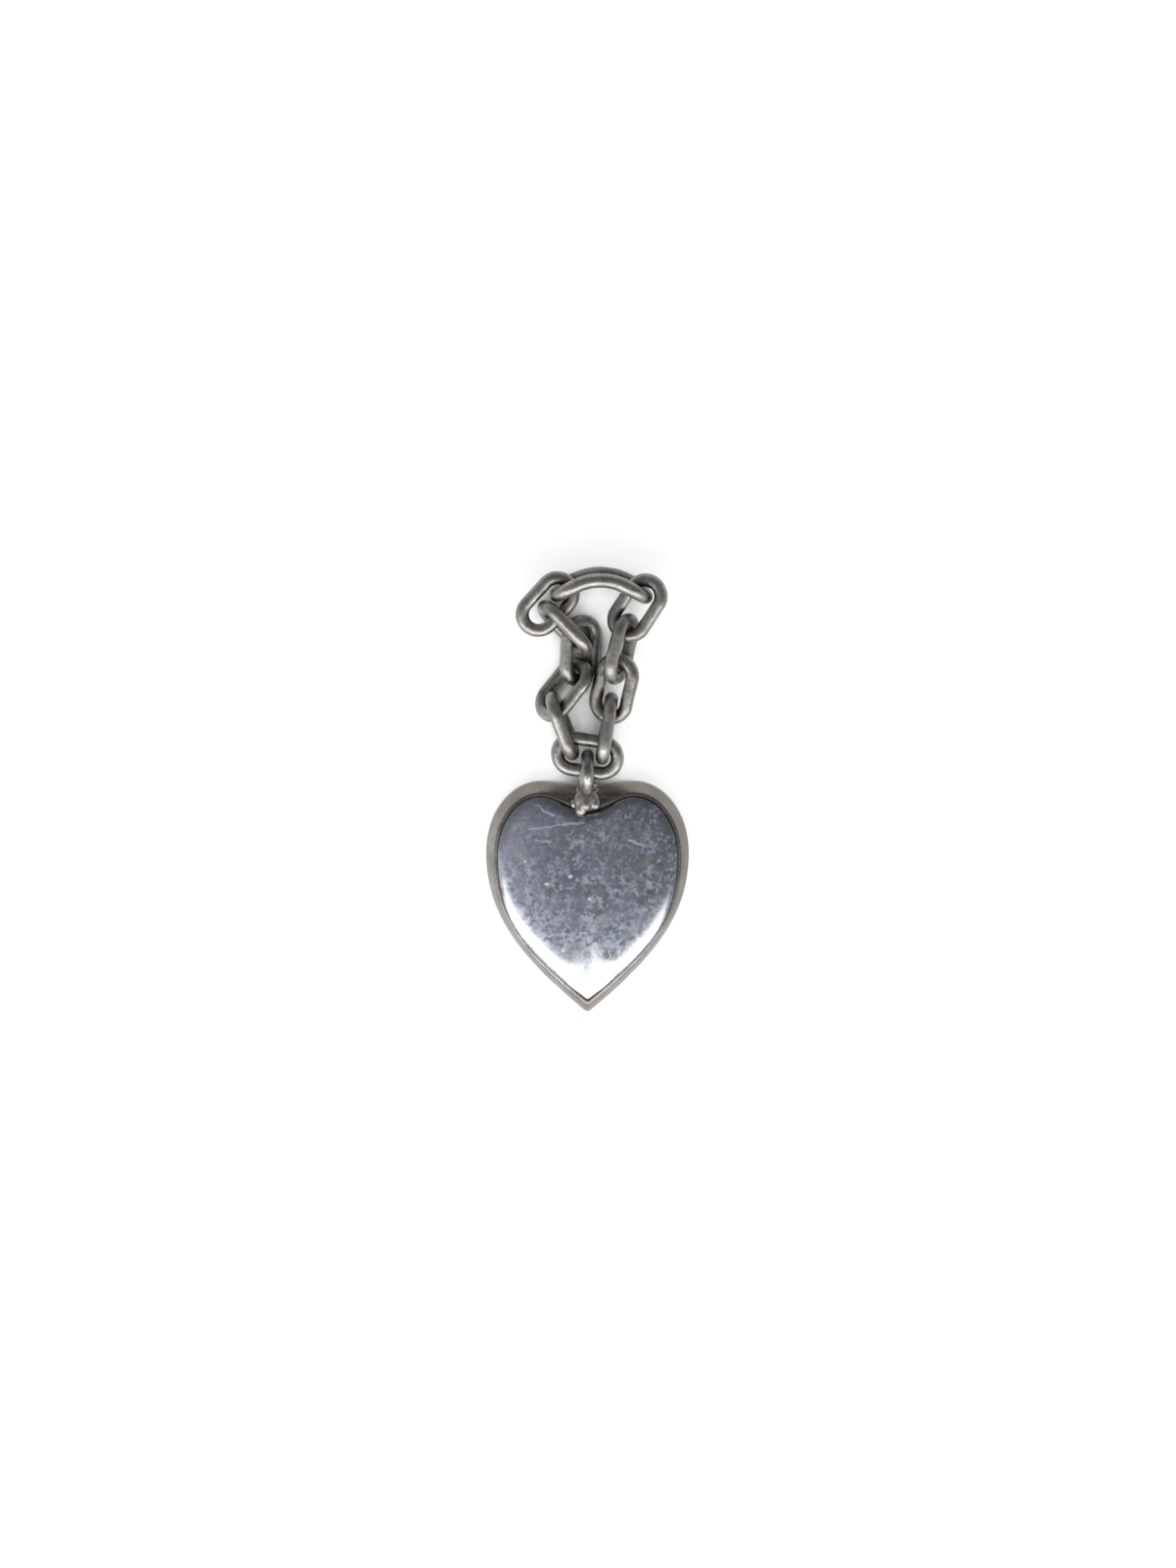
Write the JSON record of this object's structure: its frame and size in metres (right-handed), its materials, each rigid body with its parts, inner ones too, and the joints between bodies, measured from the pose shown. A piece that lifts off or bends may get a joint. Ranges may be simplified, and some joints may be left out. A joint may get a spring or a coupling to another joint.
{
  "type": "heart pendant",
  "caption": "Heart pendant: a domed blue-grey stone in a sloped silver bezel with a flat back, hung by a soldered wire eye on a short closed loop of oval chain links.",
  "frame": {"origin": "on the flat back of the heart, on its widest line", "axes": "+Z out of the stone, +Y from the tip towards the eye and chain, +X to the viewer's right"},
  "size_m": [0.02, 0.0444, 0.005],
  "materials": {
    "blue_stone": "polished opaque mottled stone",
    "satin_silver": "satin",
    "solder": "rough bright",
    "chain_silver": "satin"
  },
  "bodies": {
    "heart": {"heart_back_plate": "satin_silver", "heart_bezel": "satin_silver", "heart_stone": "blue_stone", "hanging_eye": "satin_silver", "solder_bead": "solder"},
    "link_through_eye": {"link_through_eye": "chain_silver"},
    "link_left_1": {"link_left_1": "chain_silver"},
    "link_left_2": {"link_left_2": "chain_silver"},
    "link_left_3": {"link_left_3": "chain_silver"},
    "link_left_4": {"link_left_4": "chain_silver"},
    "link_left_5": {"link_left_5": "chain_silver"},
    "link_top": {"link_top": "chain_silver"},
    "link_right_4": {"link_right_4": "chain_silver"},
    "link_right_3": {"link_right_3": "chain_silver"},
    "link_right_2": {"link_right_2": "chain_silver"},
    "link_right_1": {"link_right_1": "chain_silver"}
  },
  "joints": [
    {"name": "eye_swing", "type": "hinge", "parent": "heart", "child": "link_through_eye", "pos_m": [0.00027, 0.00839, 0.00249], "axis": [0.9991, -0.0369, 0.0204], "range_deg": [0, 85]},
    {"name": "left_1_fold", "type": "hinge", "parent": "link_through_eye", "child": "link_left_1", "pos_m": [-0.00207, 0.01154, 0.00239], "axis": [0.9929, -0.0821, 0.0855], "range_deg": [0, 26]},
    {"name": "right_1_fold", "type": "hinge", "parent": "link_through_eye", "child": "link_right_1", "pos_m": [0.00227, 0.01118, 0.00276], "axis": [0.9929, -0.0821, 0.0855], "range_deg": [0, 26]},
    {"name": "left_2_fold", "type": "hinge", "parent": "link_left_1", "child": "link_left_2", "pos_m": [-0.0035, 0.01417, 0.0024], "axis": [0.9932, 0.0215, 0.1142], "range_deg": [0, 22]},
    {"name": "right_2_fold", "type": "hinge", "parent": "link_right_1", "child": "link_right_2", "pos_m": [0.00305, 0.01431, 0.00316], "axis": [0.9932, 0.0215, 0.1142], "range_deg": [0, 22]},
    {"name": "left_3_fold", "type": "hinge", "parent": "link_left_2", "child": "link_left_3", "pos_m": [-0.00052, 0.01861, 0.00159], "axis": [0.888, 0.2152, 0.4065], "range_deg": [0, 28]},
    {"name": "right_3_fold", "type": "hinge", "parent": "link_right_2", "child": "link_right_3", "pos_m": [0.00168, 0.01914, 0.0026], "axis": [0.888, 0.2152, 0.4065], "range_deg": [0, 28]},
    {"name": "left_4_fold", "type": "hinge", "parent": "link_left_3", "child": "link_left_4", "pos_m": [-0.00164, 0.02199, 0.00329], "axis": [0.9944, 0.0767, -0.0727], "range_deg": [0, 11]},
    {"name": "right_4_fold", "type": "hinge", "parent": "link_right_3", "child": "link_right_4", "pos_m": [0.0044, 0.02246, 0.00284], "axis": [0.9944, 0.0767, -0.0727], "range_deg": [0, 11]},
    {"name": "left_5_fold", "type": "hinge", "parent": "link_left_4", "child": "link_left_5", "pos_m": [-0.0038, 0.0232, 0.00269], "axis": [0.9088, 0.4066, -0.0937], "range_deg": [0, 17]},
    {"name": "top_twist", "type": "hinge", "parent": "link_left_5", "child": "link_top", "pos_m": [-0.00189, 0.02673, 0.0025], "axis": [0.999, -0.0306, -0.0326], "range_deg": [-15, 13]}
  ],
  "couplings": [
    {"joint": "right_1_fold", "follows": "left_1_fold", "ratio": 1},
    {"joint": "right_2_fold", "follows": "left_2_fold", "ratio": 1},
    {"joint": "right_3_fold", "follows": "left_3_fold", "ratio": 1},
    {"joint": "right_4_fold", "follows": "left_4_fold", "ratio": 1}
  ]
}
